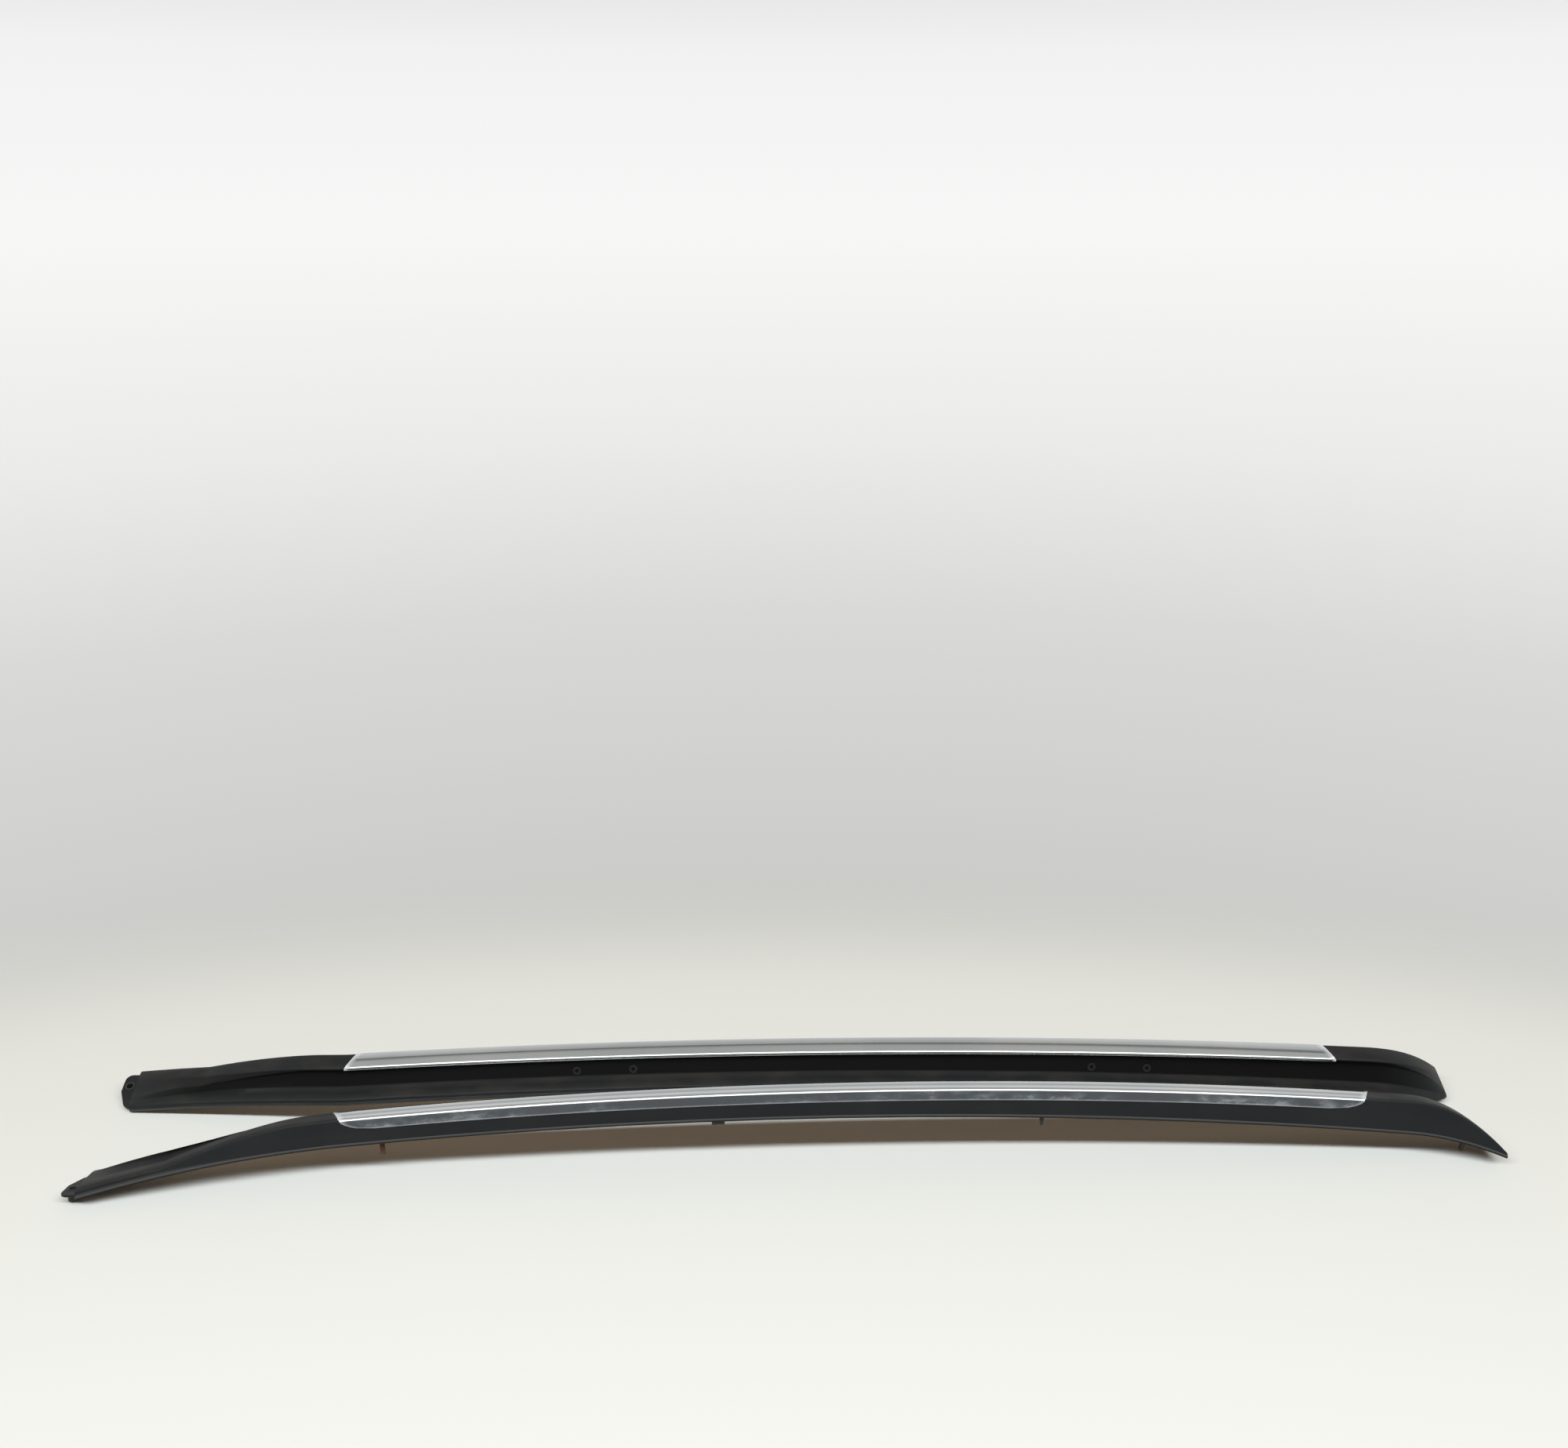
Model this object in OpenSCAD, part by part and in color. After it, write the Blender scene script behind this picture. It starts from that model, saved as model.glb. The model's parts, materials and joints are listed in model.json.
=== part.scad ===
// Pair of arched roof side rails: a moulded body with a long front foot and a
// drooping tail, a bright D-ended strip over the crest, a channel with crossbar
// sockets on the inner side, and the carrier, pad, studs and pins below.
// Each rail is drawn in its own frame: +X to the tail, +Y to the inner side,
// +Z up, its base line passing through the origin. Both then lean on the floor.

/* [Rail] */
// From the middle to where the front foot starts to fall away
bar_front = 690; // [640:5:740]
// From the middle to where the tail starts to fall away
bar_tail = 700; // [650:5:750]
// Length of the front foot beyond the bar
foot_len = 265; // [230:5:300]
// Length of the tail beyond the bar
tail_len = 121; // [109:3:142]
// Radius of the base, which follows the roof
roof_r = 7400; // [6800:50:9000]
// How far ahead of the middle the roof curve has its top
roof_top_x = 40; // [0:5:60]
// Radius of the crest seen from the side
crest_r = 8200; // [7800:50:11000]

/* [Section] */
// Height of the bar over its base at the middle, strip included
bar_h = 36.6; // [35.4:0.2:40]
// Base width on the outer side of the rail's line
base_out = 26; // [24:0.5:29]
// Base width on the inner side of the rail's line
base_in = 33; // [30:0.5:36]
// Width of the crest
crest_w = 26; // [24:0.5:28]
// Height of the flange where it meets the channel
flange_h = 6.8; // [6.6:0.1:8]
// Height of the flange at its free edge
flange_edge_h = 6; // [5.8:0.1:7]
// Depth of the channel behind the crest's inner edge
channel_depth = 7.6; // [6:0.2:9]
// How far inside the crest's inner edge the channel's slanting wall ends
wall_foot_in = 8; // [7:0.2:9]
// Height of the lip along the base edge
lip_h = 2.5; // [2:0.1:3]
// How far that lip stands out
lip_out = 0.9; // [0.5:0.1:1.4]
// Wall of the moulded body
wall = 3.2; // [2.8:0.1:3.6]

/* [Foot and tail] */
// Height of the front foot at its end
foot_h = 12.8; // [11:0.2:15]
// How far the front foot swings outward
foot_swing = 25; // [10:1:30]
// How far the front foot drops below the roof curve
foot_drop = 17; // [8:1:24]
// Height of the tail at its tip
tip_h = 6.5; // [6:0.5:9]
// How far the tail swings outward
tail_swing = 11; // [5:1:18]
// How far the tail drops below the roof curve
tail_drop = 17; // [8:1:24]
// How much narrower the tail's tip is than the base
tip_narrow = 11; // [4:1:18]
// How far the front tab stands out of the foot
tab_out = 21; // [19:1:24]
// Thickness of the front tab
tab_t = 3.2; // [2.8:0.2:4]

/* [Bright strip] */
// How far inside the bar's front end the strip ends
trim_front_in = 35; // [30:5:80]
// How far inside the bar's tail end the strip ends
trim_tail_in = 45; // [40:5:90]
// Thickness of the strip
trim_t = 1.4; // [1:0.1:2]
// How far the strip reaches down the outer face
trim_drop = 16; // [13:0.5:18]
// Length of the D-shaped end on the outer face
trim_nose = 45; // [30:1:70]

/* [Fixings] */
// Thickness of the pad under the base
pad_t = 1.6; // [1:0.1:2.5]
// Radius of the fixing studs
stud_r = 3; // [2.5:0.25:3.5]
// Length of the front stud below the base
stud_len = 22; // [18:1:28]
// Length of the tail stud below the base
tail_stud_len = 20; // [16:1:24]
// Distance of the front stud from the bar's front end
front_stud_in = 96; // [70:2:140]
// Distance of the tail stud from the tail's tip
tail_stud_in = 31; // [29:1:37]
// Radius of the locating pin
pin_r = 2.8; // [2:0.1:3.2]
// Length of the locating pin below the base
pin_len = 18; // [14:1:26]
// Distance of the locating pin behind the middle
pin_x = 235; // [180:5:300]
// Distance of the snap clip ahead of the middle
clip_x = 174; // [120:2:220]
// Radius of the screw hole in the front tab's bush
tab_hole_r = 4.2; // [3.4:0.1:4.6]
// Wall of the front tab's bush
bush_wall = 2; // [1.5:0.1:2.6]
// Length of the front tab's bush
bush_len = 15; // [12:0.2:16]
// Radius of the holes in the crossbar sockets
socket_r = 2.7; // [2:0.1:3]
// Radius of the raised ring of a crossbar socket
ring_r = 5.4; // [4.8:0.1:5.6]
// Distance from the middle to the centre of the front pair of sockets
front_sockets_x = 312; // [280:2:340]
// Distance from the middle to the centre of the rear pair of sockets
rear_sockets_x = 366; // [330:2:400]
// Spacing of the two sockets of a pair
socket_pitch = 74; // [50:2:90]

/* [Lying pair] */
// Inward lean of the left rail
left_lean = 14; // [10:1:18]
// Inward lean of the right rail
right_lean = 20; // [15:1:24]
// Turn of the left rail seen from above
left_turn = 1.9; // [0:0.1:3]
// Turn of the right rail seen from above
right_turn = 0.9; // [0:0.1:3]
// Distance between the two rails' lines at the middle
spread = 88; // [80:0.5:130]

/* [Hidden] */

round_fn = 48;
// Steps to the full turn on the very large arcs of the bar
arc_fn = 1440;

front_reach = bar_front + foot_len;
tail_reach = bar_tail + tail_len;
trim_front = bar_front - trim_front_in;
trim_tail = bar_tail - trim_tail_in;
front_stud_x = bar_front - front_stud_in;
tail_stud_x = tail_reach - tail_stud_in;
// The foot's outward swing begins at the strip's end; the crest runs out over this share of the foot
swing_from = trim_front_in;
crest_out = 0.62;
nose_y = crest_w - base_out;
// Ridge between the crest and the outer face
ridge_r = 3.4;
ridge_lean = 1.6;
face_bulge = 0.7;
// How far the strip's end slants across the crest
nose_slant = 14;
// How far the strip's arc runs on before its ends are cut to shape
trim_spare = 60;
// Lip of the crest over the channel
shelf_t = 3.2;
shelf_round = 1.1;
fit_gap = 0.4;
snug_gap = 0.1;
recess_h = 3.4;
// Exponent of the flattened ends: the higher, the squarer
slab_power = 5;

// Carrier bar
core_h = 20;
slot_neck = stud_r + 0.4;
slot_head = 5.5;
slot_floor = 2;
slot_top = 4.6;
slot_y = -9;
core_front = bar_front - 50;
core_tail = bar_tail - 10;

// Plates and screws
plate_t = 2.4;
plate_lift = 0.5;
plate_out = 17;
plate_in = 16;
tail_plate_in = 18.5;
foot_plate_in = 47;
foot_plate_len = 110;
foot_plate = [foot_plate_in - front_reach, foot_plate_in + foot_plate_len - front_reach];
tail_stud_y = 13.5;
tail_plate_in_x = 22;
tail_plate_len = 57;
tail_plate = [tail_reach - tail_plate_in_x - tail_plate_len, tail_reach - tail_plate_in_x];
screw_r = 1.8;
screw_head_r = 3.8;
screw_head_t = 1.9;
screw_reach = 9;
screw_in = 14;
tail_screw_in = 8;
foot_screws = [foot_plate[0] + screw_in, foot_plate[1] - screw_in];
tail_screws = [tail_plate[0] + tail_screw_in, tail_plate[0] + tail_screw_in + screw_in];
screw_y = -8;

// Front tab
tab_inset = 4;
tab_lift = 1.3;
tab_y_out = -23;
tab_y_in = 30;
tab_round = 9;
bush_x = 11.5;
bush_y = -5;

// Crossbar sockets
socket_along = 0.75;
ring_t = 1.3;
socket_wall = 1.5;
socket_depth = 5.4;

// Curves along the rail
function sag(d, r) = r - sqrt(r * r - d * d);
function mix(a, b, t) = a + (b - a) * t;
function clamp(v) = min(1, max(0, v));
function front_u(x) = clamp((-bar_front - x) / foot_len);
function tail_u(x) = clamp((x - bar_tail) / tail_len);
function base_z(x) = sag(roof_top_x, roof_r) - sag(x + roof_top_x, roof_r)
    - foot_drop * pow(front_u(x), 2) - tail_drop * pow(tail_u(x), 2);
function slope(x) = atan(base_z(x + 0.5) - base_z(x - 0.5));
function swing_u(x) = clamp((swing_from - bar_front - x) / (foot_len + swing_from));
function line_y(x) = -foot_swing * pow(swing_u(x), 1.15) - tail_swing * pow(tail_u(x), 2);
function inner_w(x) = base_in - tip_narrow * pow(tail_u(x), 4);
function bar_x(x) = max(-bar_front, min(bar_tail, x));
function height(x) = bar_h - sag(bar_x(x), crest_r) - base_z(bar_x(x));
function crest(x) = height(x) - trim_t;
// How far the section has melted from the bar into the flat end, at its crest
// and at its flange: in the foot the crest runs out early and the flange late
function melt(x) = x < 0 ? pow(min(1, front_u(x) / crest_out), 1.6) : pow(tail_u(x), 2.4);
function melt_in(x) = x < 0 ? pow(front_u(x), 4.2) : melt(x);
function end_h(x) = x < 0 ? foot_h : tip_h;

// Points of an arc, as [y, z]
function arc(y, z, r, from, to, n) =
    [for (i = [0:n]) let (a = mix(from, to, i / n)) [y + r * cos(a), z + r * sin(a)]];

// Outer face of the bar at a depth below the crest: the same at every station
function face_y(depth) = let (t = (depth - ridge_r - 0.5) / 28)
    -base_out + ridge_lean * pow(1 - t, 2) - face_bulge * sin(180 * t);

// Outer face, ridge and crest of the bar, up to the crest's inner edge
function bar_crest(c) = concat(
    [[-base_out, lip_h + 0.6]],
    [for (d = [trim_drop - trim_t + 6, trim_drop - trim_t, 8.5]) [face_y(d), c - d]],
    arc(-base_out + ridge_lean + ridge_r, c - ridge_r - 0.5, ridge_r, 180, 96, 4),
    [for (t = [0.35, 0.7]) [mix(-base_out + 5, nose_y, t), c - 0.3 * abs(t - 0.5)]],
    arc(nose_y - shelf_round, c - 0.2 - shelf_round, shelf_round, 80, 0, 2));

// Two ends of the channel's slanting wall
function wall_top(c) = [nose_y - channel_depth, c - shelf_t - 3.4];
function wall_foot() = [nose_y + wall_foot_in, flange_h + 1];

// Shelf, channel, flange and lower lip, down to the inner base edge
function bar_channel(c) = concat(
    [[nose_y, c - shelf_t], [nose_y - 0.9, c - shelf_t - 0.8],
     [nose_y - channel_depth + 1.6, c - shelf_t - 1.7]],
    [for (t = [0, 0.33, 0.67, 1]) mix(wall_top(c), wall_foot(), t)],
    let (y = nose_y + wall_foot_in + 3)
        [[y, flange_h], [mix(y, base_in - 6.4, 0.5), mix(flange_h, flange_edge_h, 0.4)]],
    [[base_in - 6.4, flange_edge_h + 0.3]],
    arc(base_in - 6, flange_edge_h - 3, 3, 75, 0, 3),
    [[base_in - 2.6, lip_h + 0.3], [base_in - 0.5, lip_h - 0.2]]);

// Flattened end: point i of n on a squared half oval
function slab(i, n, y_in, h) = let (a = 180 * (1 - (i + 1) / (n + 1)), e = 2 / slab_power)
    [(y_in - base_out) / 2 + (y_in + base_out) / 2 * sign(cos(a)) * pow(abs(cos(a)), e),
     lip_h + (h - lip_h) * pow(sin(a), e)];

function outer_lip() = [[-base_out - lip_out, 0], [-base_out - lip_out, lip_h - 0.7],
    [-base_out - 0.1, lip_h]];
function inner_lip(x) = [[inner_w(x), lip_h - 1], [inner_w(x), 0]];

// Recess along the underside: deep in the bar, shallow in the foot and tail
function shallow(x) = x < 0 ? clamp((-core_front - 12 - x) / 90) : clamp((x - core_tail - 4) / 44);
function recess(x) = let (c = crest(x), m = shallow(x),
        open = clamp((x + front_reach - 6) / 12) * clamp((tail_reach - 8 - x) / 14),
        low = min(recess_h, end_h(x) - 3)) [
    [inner_w(x) - 6.5, 0],
    [inner_w(x) - 8, open * mix(flange_edge_h - 2.9, low, m)],
    [mix(nose_y + wall_foot_in - 4, 8, m), open * mix(flange_h - 3.2, low, m)],
    [mix(nose_y - channel_depth - 4.2, -8, m), open * mix(c - 7.5, low, m)],
    [mix(-base_out + wall + 8.8, -13, m), open * mix(c - 4.4, low, m)],
    [mix(-base_out + wall + 2.3, -18, m), open * mix(c - 4.8, low, m)],
    [-base_out + wall, open * mix(c - 9, low, m)],
    [-base_out + wall, 0]];

function body_section(x) = let (
        outer = bar_crest(crest(x)), inner = bar_channel(crest(x)), k = len(outer), n = k + len(inner))
    concat(outer_lip(),
        [for (i = [0:k - 1]) mix(outer[i], slab(i, n, inner_w(x), end_h(x)), melt(x))],
        [for (i = [k:n - 1]) let (m = mix(melt(x), melt_in(x), clamp((i - k) / 7)))
            mix(inner[i - k], slab(i, n, inner_w(x), end_h(x)), m)],
        inner_lip(x), recess(x));

// Stations: close together where the shape turns, far apart on the plain arc
foot_us = concat([1, 0.98, 0.955, 0.93], [for (i = [10:-1:1]) i / 11]);
tail_us = [for (i = [1:11]) 1 - pow(1 - i / 11, 1.6)];
bar_steps = 15;
stations = concat(
    [for (u = foot_us) -bar_front - foot_len * u],
    [-bar_front],
    [for (i = [0:bar_steps]) mix(swing_from - bar_front, bar_tail, i / bar_steps)],
    [for (u = tail_us) bar_tail + tail_len * u]);

// Sections turned into rings in space, and a closed skin over them
function ring(section, x) = [for (p = section) [x, line_y(x) + p[0], base_z(x) + p[1]]];

module skin(rings) {
    n = len(rings[0]);
    last = len(rings) - 1;
    function centre(r) = [for (k = [0:2]) (max([for (p = r) p[k]]) + min([for (p = r) p[k]])) / 2];
    points = concat([for (r = rings) each r], [centre(rings[0]), centre(rings[last])]);
    head = (last + 1) * n;
    sides = [for (k = [0:last - 1], i = [0:n - 1]) let (j = (i + 1) % n)
        each [[k * n + i, k * n + j, (k + 1) * n + j], [k * n + i, (k + 1) * n + j, (k + 1) * n + i]]];
    caps = [for (i = [0:n - 1]) let (j = (i + 1) % n)
        each [[head, j, i], [head + 1, last * n + i, last * n + j]]];
    polyhedron(points, concat(sides, caps), convexity = 6);
}

// Placing along the rail
module at_base(x, y = 0) {
    translate([x, line_y(x) + y, base_z(x)]) rotate([0, -slope(x), 0]) children();
}

// Solid of a section [y, z] turned about a far axis, from x0 to x1, with the top of its arc at x = top_x
module arc_bar(section, r, top_x, top_z, x0, x1, hole = []) {
    a0 = asin((x0 - top_x) / r);
    a1 = asin((x1 - top_x) / r);
    solid_n = len(section);
    points = [for (p = concat(section, hole)) [r + p[1], -p[0]]];
    outline = [for (i = [0:solid_n - 1]) i];
    inside = [for (i = [0:max(0, len(hole) - 1)]) solid_n + i];
    translate([top_x, 0, top_z - r]) rotate([90, 0, 0]) rotate([0, 0, 90 - a1])
        rotate_extrude(angle = a1 - a0, $fn = arc_fn)
            polygon(points, len(hole) > 0 ? [outline, inside] : [outline]);
}

// Moulded body
module tab_plate() {
    x = -front_reach;
    far = x - tab_out;
    outline = concat(
        [[x + tab_inset, tab_y_in], [x - 4, tab_y_in], [x - 11, tab_y_in - 5], [far, 3]],
        [for (a = [90:-15:0]) [far + tab_round * (1 - sin(a)), tab_y_out + tab_round * (1 - cos(a))]],
        [[x + tab_inset, tab_y_out]]);
    translate([0, line_y(x), base_z(x) + tab_lift]) linear_extrude(tab_t) polygon(outline);
}

module at_bush() {
    translate([-front_reach - bush_x, line_y(-front_reach) + bush_y, base_z(-front_reach) + tab_lift])
        children();
}

// Frame of a crossbar socket: +Z out of the channel wall
module at_socket(x) {
    top = wall_top(crest(x));
    foot = wall_foot();
    p = mix(top, foot, socket_along);
    lean = atan2(foot[0] - top[0], top[1] - foot[1]);
    translate([x, p[0], base_z(x) + p[1]]) rotate([-(90 - lean), 0, 0]) children();
}
function socket_xs() = [for (side = [-front_sockets_x, rear_sockets_x], k = [-0.5, 0.5])
    side + k * socket_pitch];

module rail_body() {
    color([0.13, 0.13, 0.13]) difference() {
        union() {
            skin([for (x = stations) ring(body_section(x), x)]);
            tab_plate();
        }
        at_bush() translate([0, 0, -1])
            cylinder(r = tab_hole_r + bush_wall + snug_gap, h = tab_t + 2, $fn = round_fn);
        for (x = socket_xs()) at_socket(x) translate([0, 0, -socket_depth - 3])
            cylinder(r = socket_r + socket_wall + snug_gap, h = socket_depth + 6, $fn = round_fn);
        for (x = concat(foot_screws, tail_screws)) at_base(x, screw_y)
            cylinder(r = screw_r + snug_gap, h = screw_reach + 0.5, $fn = round_fn);
    }
}

// Bright strip over the crest
function strip_chain() = [for (p = bar_crest(bar_h - trim_t)) if (p[1] > bar_h - trim_drop - 0.1) p];
function normal(a, b) = let (d = b - a, l = norm(d)) [-d[1] / l, d[0] / l];
function offset_chain(ch, t) = let (n = len(ch)) [for (i = [0:n - 1])
    let (a = normal(ch[max(0, i - 1)], ch[max(1, i)]), b = normal(ch[min(n - 2, i)], ch[min(n - 1, i + 1)]),
        m = (a + b) / norm(a + b)) ch[i] + m * t];

// What is cut away beyond an end of the strip: a quarter oval on the outer face,
// carried over the crest on a slant
module strip_end_cut(dir, reach) {
    end_x = reach - nose_slant;
    far = trim_spare + 4 * nose_slant;
    top = bar_h - sag(end_x, crest_r);
    curve = [for (a = [0:7.5:90])
        [dir * trim_nose * (sin(a) - 1), top - 1.5 - (trim_drop - 1) * cos(a)]];
    beyond = [[0, top + bar_h], [dir * far, top + bar_h], [dir * far, top - 2 * bar_h],
        [-dir * trim_nose, top - 2 * bar_h]];
    translate([dir * end_x, 1 - base_out, 0]) rotate([0, 0, -dir * atan(nose_slant / crest_w)])
        rotate([90, 0, 0]) linear_extrude(6 * crest_w, center = true) polygon(concat(curve, beyond));
}

module bright_strip() {
    inner = offset_chain(strip_chain(), snug_gap);
    outer = offset_chain(strip_chain(), trim_t);
    section = concat(inner, [for (i = [len(outer) - 1:-1:0]) outer[i]]);
    color([0.8, 0.82, 0.84]) difference() {
        arc_bar(section, crest_r, 0, 0, -trim_front - trim_spare, trim_tail + trim_spare);
        strip_end_cut(-1, trim_front);
        strip_end_cut(1, trim_tail);
    }
}

// Carrier bar: an extrusion with a hollow chamber and a slot for the studs' heads
function core_section() = let (yo = -base_out + wall + fit_gap, yi = base_in - 11) [
    [yo, plate_lift], [yo, core_h], [-12, core_h], [nose_y + 1.5, flange_h - 3.7],
    [yi - 1, flange_edge_h - 3.4], [yi, plate_lift],
    [slot_y + slot_neck, plate_lift], [slot_y + slot_neck, slot_floor],
    [slot_y + slot_head, slot_floor], [slot_y + slot_head, slot_top],
    [slot_y - slot_head, slot_top], [slot_y - slot_head, slot_floor],
    [slot_y - slot_neck, slot_floor], [slot_y - slot_neck, plate_lift]];
function core_chamber() = let (yo = -base_out + wall + fit_gap + 2.2)
    [[yo, 7.4], [-4.6, 7.4], [-13.4, core_h - 2.2], [yo, core_h - 2.2]];

module carrier_bar() {
    color([0.62, 0.63, 0.65])
        arc_bar(core_section(), roof_r, -roof_top_x, sag(roof_top_x, roof_r), -core_front, core_tail,
            core_chamber());
}

// Pad under the whole base
function pad_section(x) = [[-base_out + 0.8, -pad_t], [-base_out + 0.8, 0],
    [inner_w(x) - 1, 0], [inner_w(x) - 1, -pad_t]];
module base_pad() {
    color([0.07, 0.07, 0.07]) difference() {
        skin([for (x = stations) ring(pad_section(x), x)]);
        at_base(-front_stud_x, slot_y) post_hole(stud_r + fit_gap);
        at_base(tail_stud_x, tail_stud_y) post_hole(stud_r + fit_gap);
        at_base(pin_x, slot_y) post_hole(pin_r + fit_gap);
        at_base(-clip_x, slot_y) post_hole(stud_r + fit_gap);
        for (x = concat(foot_screws, tail_screws)) at_base(x, screw_y) post_hole(screw_head_r + fit_gap);
    }
}
module post_hole(r) {
    translate([0, 0, -pad_t - 3]) cylinder(r = r, h = pad_t + 6, $fn = round_fn);
}

// Steel plates in the foot and the tail
module plate(span, inner) {
    steps = 6;
    section = [[-plate_out, plate_lift], [-plate_out, plate_lift + plate_t],
        [inner, plate_lift + plate_t], [inner, plate_lift]];
    skin([for (i = [0:steps]) let (x = mix(span[0], span[1], i / steps)) ring(section, x)]);
}
module foot_plate() {
    color([0.45, 0.45, 0.46]) difference() {
        plate(foot_plate, plate_in);
        for (x = foot_screws) at_base(x, screw_y) translate([0, 0, -1])
            cylinder(r = screw_r + fit_gap, h = plate_t + 4, $fn = round_fn);
    }
}
module tail_plate() {
    color([0.45, 0.45, 0.46]) difference() {
        plate(tail_plate, tail_plate_in);
        for (x = tail_screws) at_base(x, screw_y) translate([0, 0, -1])
            cylinder(r = screw_r + fit_gap, h = plate_t + 4, $fn = round_fn);
        at_base(tail_stud_x, tail_stud_y) translate([0, 0, -1])
            cylinder(r = stud_r + snug_gap, h = plate_t + 4, $fn = round_fn);
    }
}
module plate_screws() {
    color([0.5, 0.5, 0.5]) for (x = concat(foot_screws, tail_screws)) at_base(x, screw_y) union() {
        cylinder(r = screw_r, h = screw_reach, $fn = round_fn);
        translate([0, 0, plate_lift - snug_gap - screw_head_t])
            cylinder(r = screw_head_r, h = screw_head_t, $fn = round_fn);
    }
}

// Bush in the front tab, long enough to reach what the tab is screwed to
module tab_bush() {
    color([0.3, 0.3, 0.3]) at_bush() translate([0, 0, tab_t + 0.4 - bush_len]) difference() {
        cylinder(r = tab_hole_r + bush_wall, h = bush_len, $fn = round_fn);
        translate([0, 0, -1]) cylinder(r = tab_hole_r, h = bush_len + 2, $fn = round_fn);
    }
}

// Studs and pins below the base
module stud_head() {
    translate([0, 0, slot_floor + 0.1]) intersection() {
        cylinder(r = slot_head + 3, h = slot_top - slot_floor - 0.4, $fn = round_fn);
        translate([-9, 0.3 - slot_head, 0]) cube([18, 2 * slot_head - 0.6, slot_top - slot_floor - 0.4]);
    }
}
module stud(len, up) {
    point = 1.2;
    translate([0, 0, -len + point]) cylinder(r = stud_r, h = len - point + up, $fn = round_fn);
    translate([0, 0, -len]) cylinder(r1 = stud_r - 0.9, r2 = stud_r, h = point, $fn = round_fn);
    translate([0, 0, -pad_t - 2.5]) cylinder(r = stud_r + 4, h = 2.2, $fn = round_fn);
}
module front_stud() {
    color([0.42, 0.24, 0.12]) at_base(-front_stud_x, slot_y) union() {
        stud(stud_len, slot_floor + 0.2);
        stud_head();
    }
}
module tail_stud() {
    color([0.2, 0.2, 0.2]) at_base(tail_stud_x, tail_stud_y) union() {
        stud(tail_stud_len, plate_lift + plate_t);
    }
}
module locating_pin() {
    tip = 7;
    color([0.08, 0.08, 0.08]) at_base(pin_x, slot_y) union() {
        translate([0, 0, -pin_len + tip])
            cylinder(r = pin_r, h = pin_len - tip + slot_floor + 0.2, $fn = round_fn);
        translate([0, 0, -pin_len]) cylinder(r1 = pin_r * 0.5, r2 = pin_r, h = tip, $fn = round_fn);
        translate([0, 0, -pad_t - 1.9]) cylinder(r = pin_r + 3.2, h = 1.6, $fn = round_fn);
        stud_head();
    }
}
module snap_clip() {
    drop = 5;
    color([0.08, 0.08, 0.08]) at_base(-clip_x, slot_y) union() {
        translate([0, 0, -pad_t - 1]) cylinder(r = stud_r, h = pad_t + 1 + slot_floor + 0.2, $fn = round_fn);
        translate([-8, -base_out + 3.5 - slot_y, -pad_t - drop]) cube([16, base_out + 6, drop - 0.3]);
        stud_head();
    }
}

// Crossbar sockets: flanged inserts in the channel's wall
module crossbar_sockets() {
    color([0.22, 0.22, 0.22]) for (x = socket_xs()) at_socket(x) difference() {
        union() {
            translate([0, 0, -socket_depth])
                cylinder(r = socket_r + socket_wall, h = socket_depth + 0.5, $fn = round_fn);
            translate([0, 0, 0.1]) cylinder(r = ring_r, h = ring_t, $fn = round_fn);
        }
        translate([0, 0, -socket_depth - 1])
            cylinder(r = socket_r, h = socket_depth + ring_t + 3, $fn = round_fn);
    }
}

// Height of a leaning rail's line over the floor, with its lowest point just touching
function touch(lean, y, z) = -(z * cos(lean) - y * sin(lean));
function stand(lean) = max(
    touch(lean, line_y(-front_reach) + inner_w(-front_reach) - 1, base_z(-front_reach) - pad_t),
    touch(lean, line_y(tail_stud_x) + tail_stud_y, base_z(tail_stud_x) - tail_stud_len),
    (tab_hole_r + bush_wall) * sin(lean)
        + touch(lean, line_y(-front_reach) + bush_y,
            base_z(-front_reach) + tab_lift + tab_t + 0.4 - bush_len));

// Shifts that bring the lying pair's box over the origin
pair_x = (front_reach + tab_out - tail_reach) / 2;
pair_y = (front_reach * sin(left_turn) + foot_swing - tail_reach * sin(right_turn) - tail_swing) / 2 - 2.4;

module left() {
    translate([pair_x + 7, pair_y - spread / 2, stand(left_lean)])
        rotate([0, 0, left_turn]) rotate([-left_lean, 0, 0]) children();
}
module right() {
    translate([pair_x - 7, pair_y + spread / 2, stand(right_lean)])
        rotate([0, 0, right_turn]) rotate([right_lean, 0, 0]) mirror([0, 1, 0]) children();
}

left() rail_body();  // left_rail_body
left() bright_strip();  // left_bright_strip
left() carrier_bar();  // left_carrier_bar
left() base_pad();  // left_base_pad
left() foot_plate();  // left_foot_plate
left() tail_plate();  // left_tail_plate
left() plate_screws();  // left_plate_screws
left() tab_bush();  // left_tab_bush
left() front_stud();  // left_front_stud
left() tail_stud();  // left_tail_stud
left() locating_pin();  // left_locating_pin
left() snap_clip();  // left_snap_clip
left() crossbar_sockets();  // left_crossbar_sockets
right() rail_body();  // right_rail_body
right() bright_strip();  // right_bright_strip
right() carrier_bar();  // right_carrier_bar
right() base_pad();  // right_base_pad
right() foot_plate();  // right_foot_plate
right() tail_plate();  // right_tail_plate
right() plate_screws();  // right_plate_screws
right() tab_bush();  // right_tab_bush
right() front_stud();  // right_front_stud
right() tail_stud();  // right_tail_stud
right() locating_pin();  // right_locating_pin
right() snap_clip();  // right_snap_clip
right() crossbar_sockets();  // right_crossbar_sockets
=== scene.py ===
"""Pair of roof side rails lying on a pale floor: looks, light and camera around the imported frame."""
import json
import math

import bpy
import numpy as np
from mathutils import Matrix, Vector


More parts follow.
